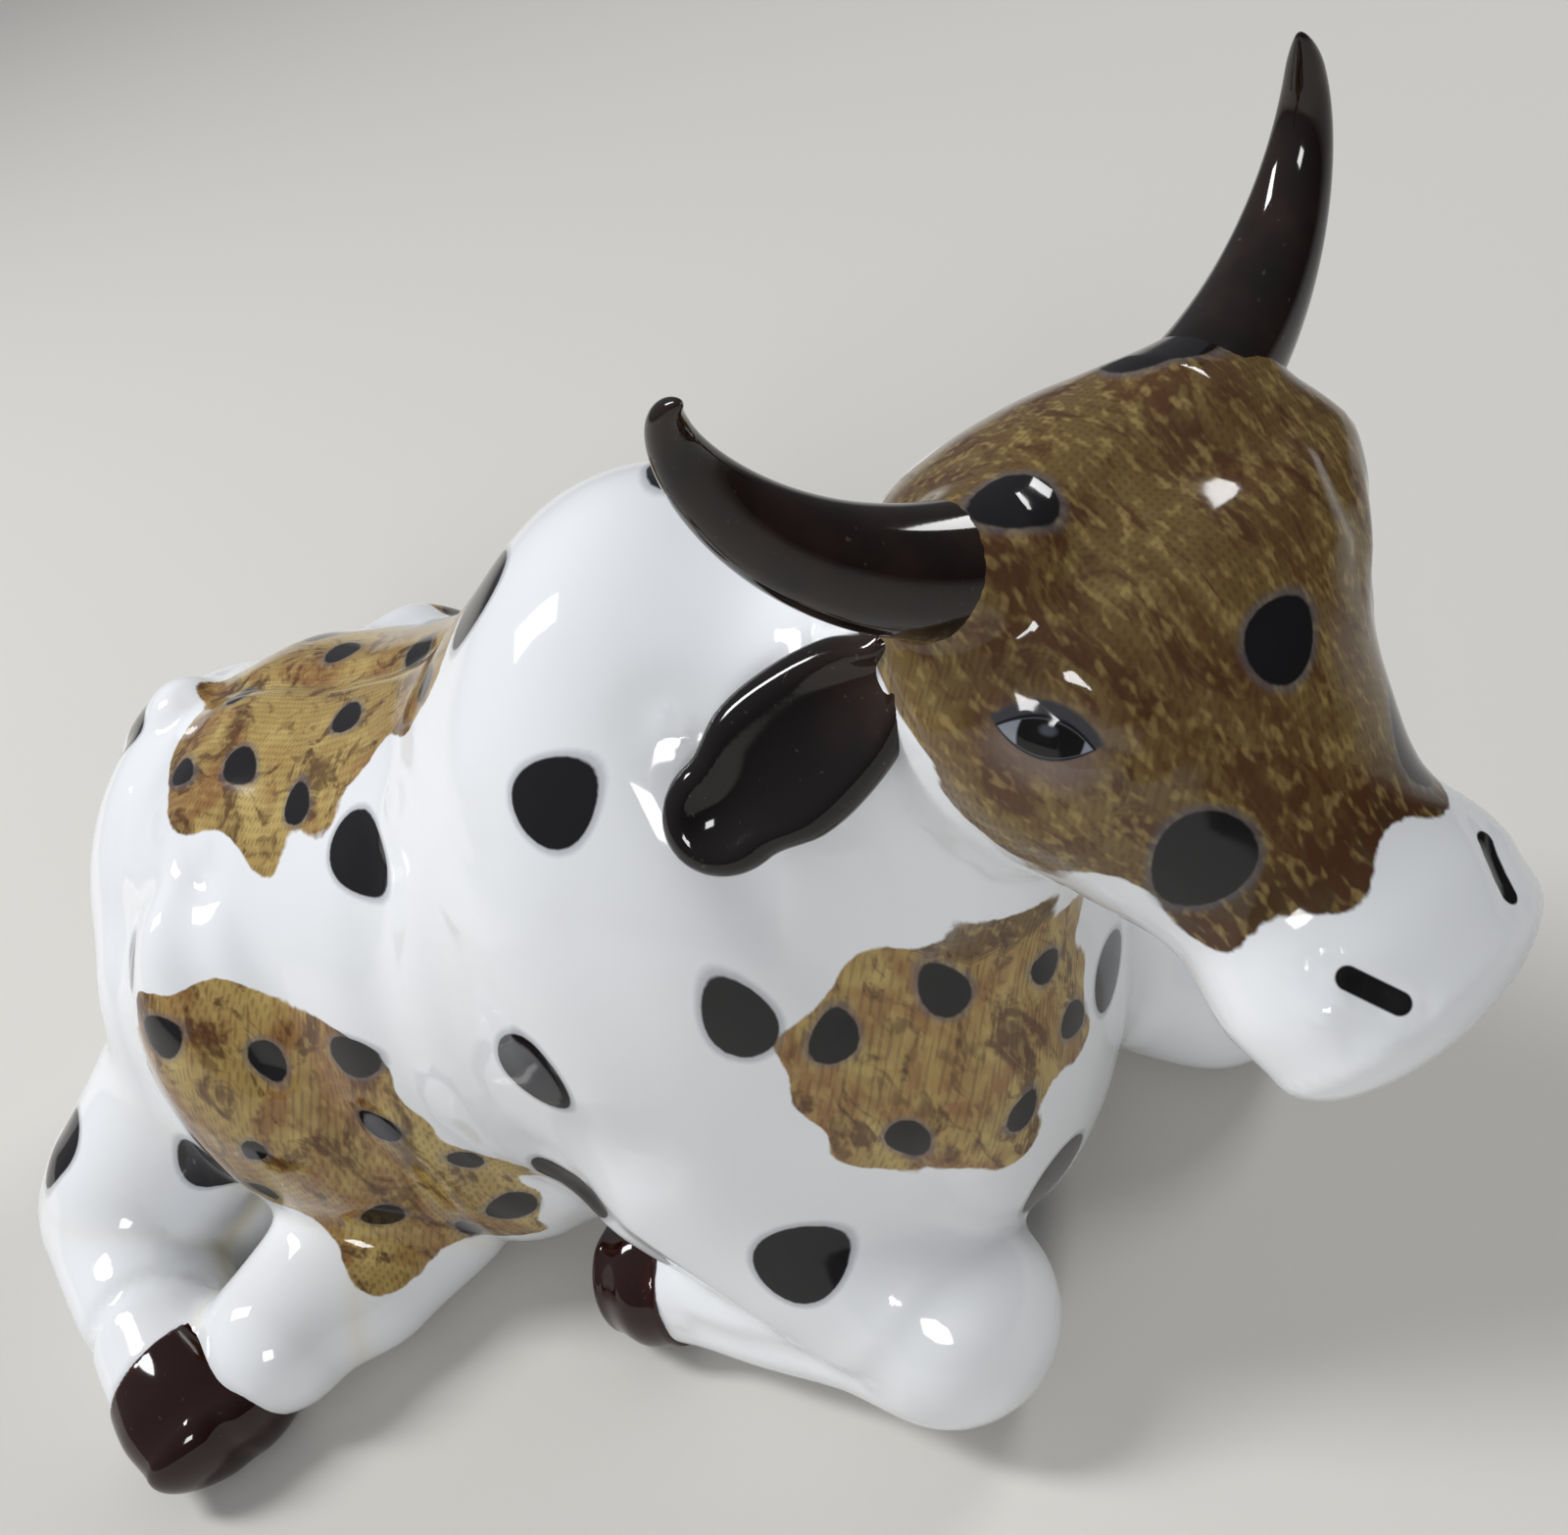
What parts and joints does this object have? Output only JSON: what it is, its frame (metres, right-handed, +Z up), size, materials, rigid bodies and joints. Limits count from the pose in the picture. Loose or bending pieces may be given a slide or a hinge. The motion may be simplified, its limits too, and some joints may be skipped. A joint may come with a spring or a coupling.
{
  "type": "cow figurine",
  "caption": "Reclining cow figurine in glossy glazed ceramic, head turned to its right, with upswept horns, drooping ears, folded forelegs, a hind leg thrown out to the side and a flat resting face",
  "frame": {"origin": "middle of the torso's flat resting face, on the plane that the figurine lies on", "axes": "+X the way the cow's body faces, +Y the cow's left, +Z up"},
  "size_m": [0.1535, 0.0988, 0.1089],
  "materials": {
    "body_glaze": "clear gloss glaze over white earthenware, with mottled brown hide patches and black blotches",
    "horn_glaze": "near-black brown gloss glaze, lighter where it runs thin at the roots",
    "hoof_glaze": "dark maroon brown gloss glaze"
  },
  "bodies": {
    "root": {"torso": "body_glaze", "head": "body_glaze", "left_horn": "horn_glaze", "right_horn": "horn_glaze", "left_ear": "horn_glaze", "right_ear": "horn_glaze", "left_foreleg": "body_glaze", "right_foreleg": "body_glaze", "left_fore_hoof": "hoof_glaze", "right_fore_hoof": "hoof_glaze", "left_hind_leg": "body_glaze", "right_hind_leg": "body_glaze", "left_hind_hoof": "hoof_glaze", "right_hind_hoof": "hoof_glaze", "udder": "body_glaze", "tail": "body_glaze"}
  },
  "joints": []
}
